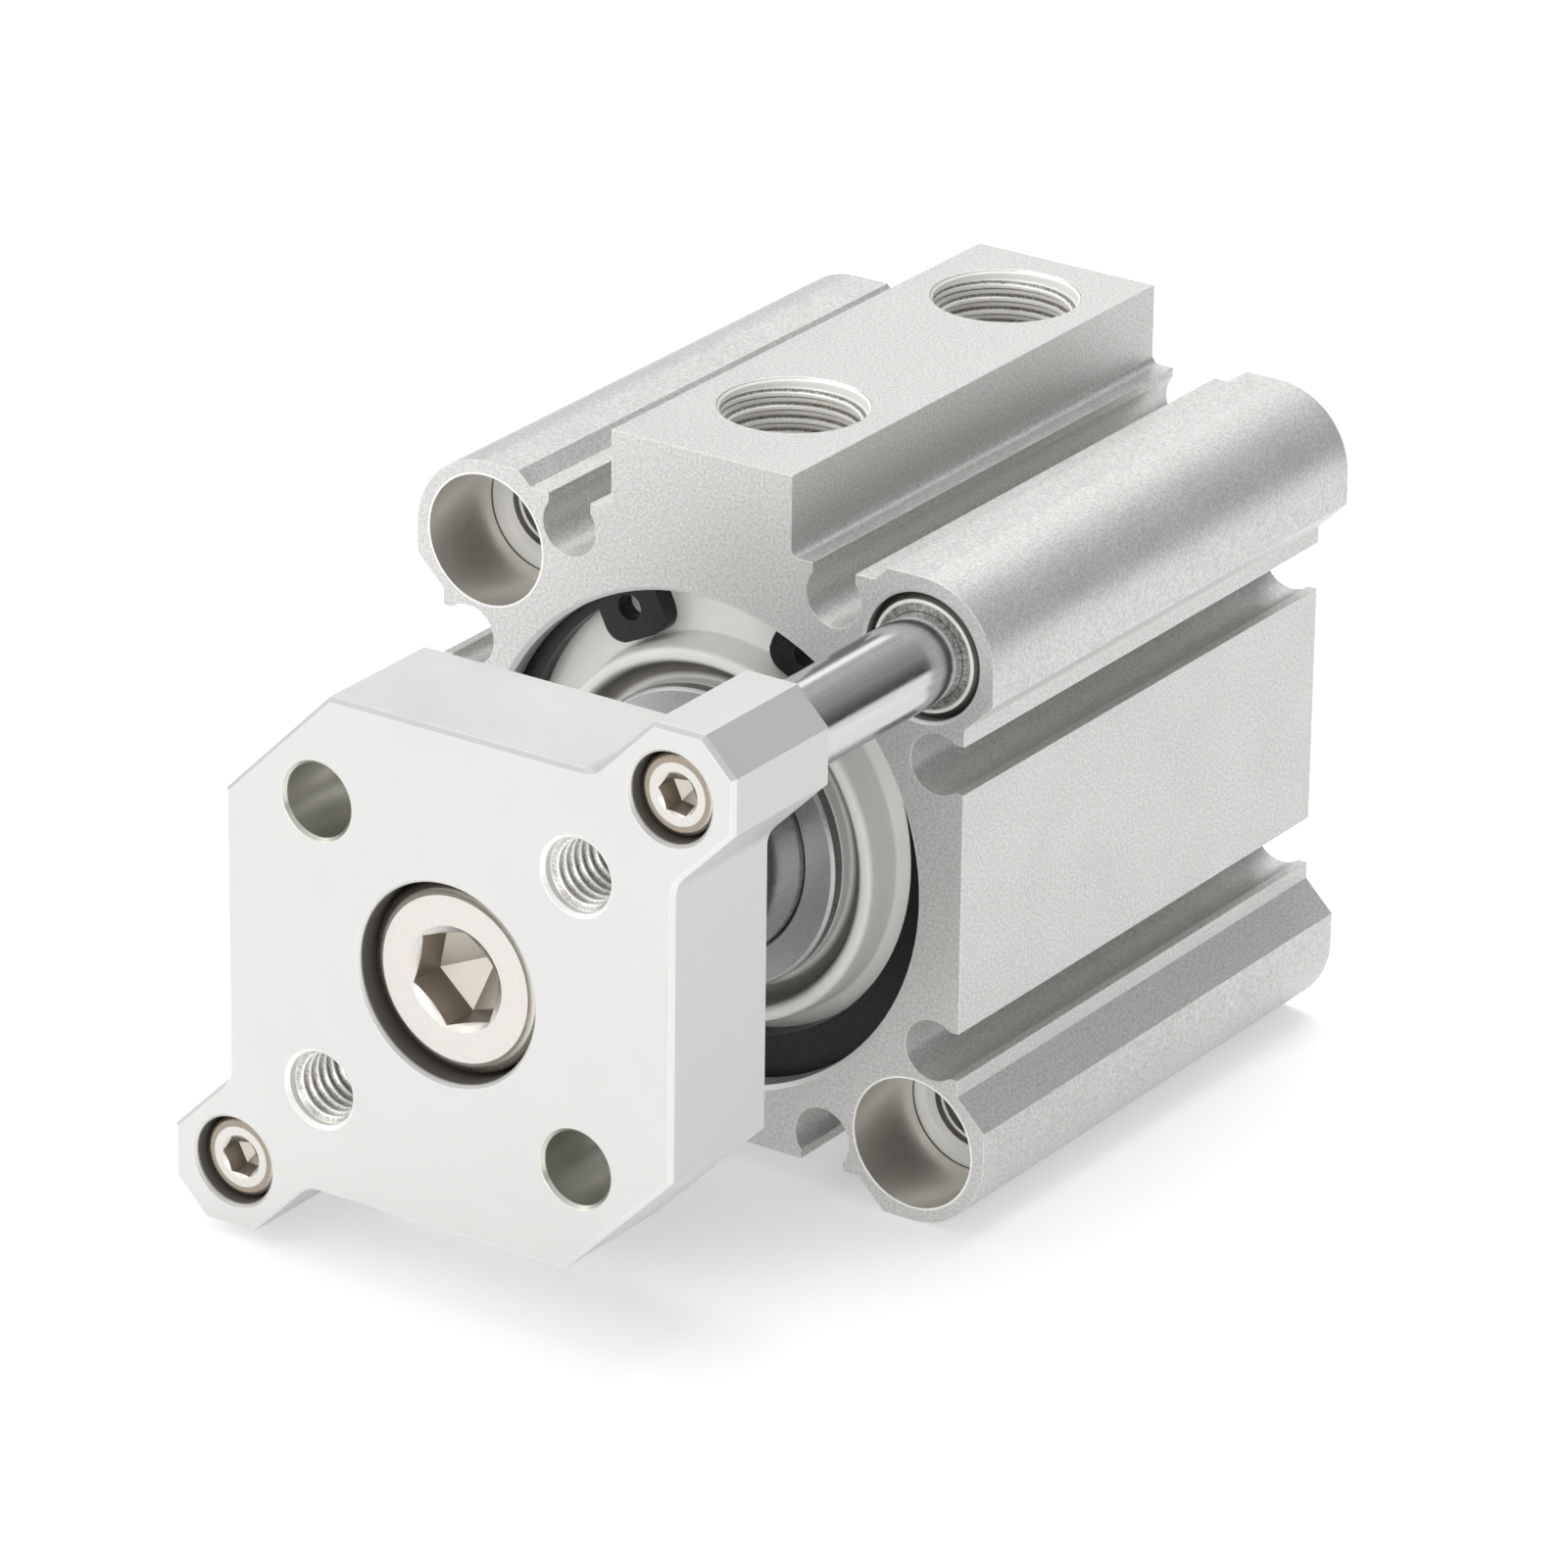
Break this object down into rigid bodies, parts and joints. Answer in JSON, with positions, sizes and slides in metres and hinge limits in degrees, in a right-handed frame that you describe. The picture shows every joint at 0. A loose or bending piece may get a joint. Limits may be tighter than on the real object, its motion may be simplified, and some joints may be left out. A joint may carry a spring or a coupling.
{
  "type": "guided pneumatic cylinder",
  "caption": "Compact square-bodied air cylinder with a thick piston rod, an end plate kept from turning by slim guide rods on one diagonal, air ports on top and round switch grooves.",
  "frame": {"origin": "centre of the body's rod-side face, on the piston rod's axis", "axes": "+Y along the rod from the rod side to the rear, +Z towards the air ports, +X to the right seen from the rod side"},
  "size_m": [0.045, 0.0707, 0.0495],
  "materials": {
    "anodised_body": "blasted and clear anodised",
    "anodised_plate": "fine satin, clear anodised",
    "cast_aluminium": "matt casting",
    "machined_aluminium": "turned",
    "chromed_steel": "ground and hard chromed",
    "nickel_steel": "nickel plated",
    "black_spring_steel": "black phosphate",
    "bearing_metal": "turned",
    "bush_metal": "sintered",
    "seal_rubber": "matt",
    "magnet_rubber": "matt",
    "bumper_urethane": "satin",
    "wear_resin": "matt"
  },
  "bodies": {
    "cylinder_body": {"cylinder_tube": "anodised_body", "collar": "cast_aluminium", "rod_bush": "bearing_metal", "rod_seal": "seal_rubber", "collar_gasket": "seal_rubber", "retaining_ring": "black_spring_steel", "guide_bush_right_front": "bush_metal", "guide_bush_right_rear": "bush_metal", "guide_bush_left_front": "bush_metal", "guide_bush_left_rear": "bush_metal"},
    "rod_assembly": {"piston_rod": "chromed_steel", "piston": "machined_aluminium", "piston_seal": "seal_rubber", "wear_ring": "wear_resin", "magnet": "magnet_rubber", "bumper_rod_side": "bumper_urethane", "bumper_head_side": "bumper_urethane", "piston_gasket": "seal_rubber", "end_plate": "anodised_plate", "rod_bolt": "nickel_steel", "guide_rod_right": "chromed_steel", "guide_rod_left": "chromed_steel", "guide_screw_right": "nickel_steel", "guide_screw_left": "nickel_steel"}
  },
  "joints": [
    {"name": "rod_stroke", "type": "slide", "parent": "cylinder_body", "child": "rod_assembly", "axis": [0, -1, 0], "range_m": [-0.01, 0]}
  ]
}
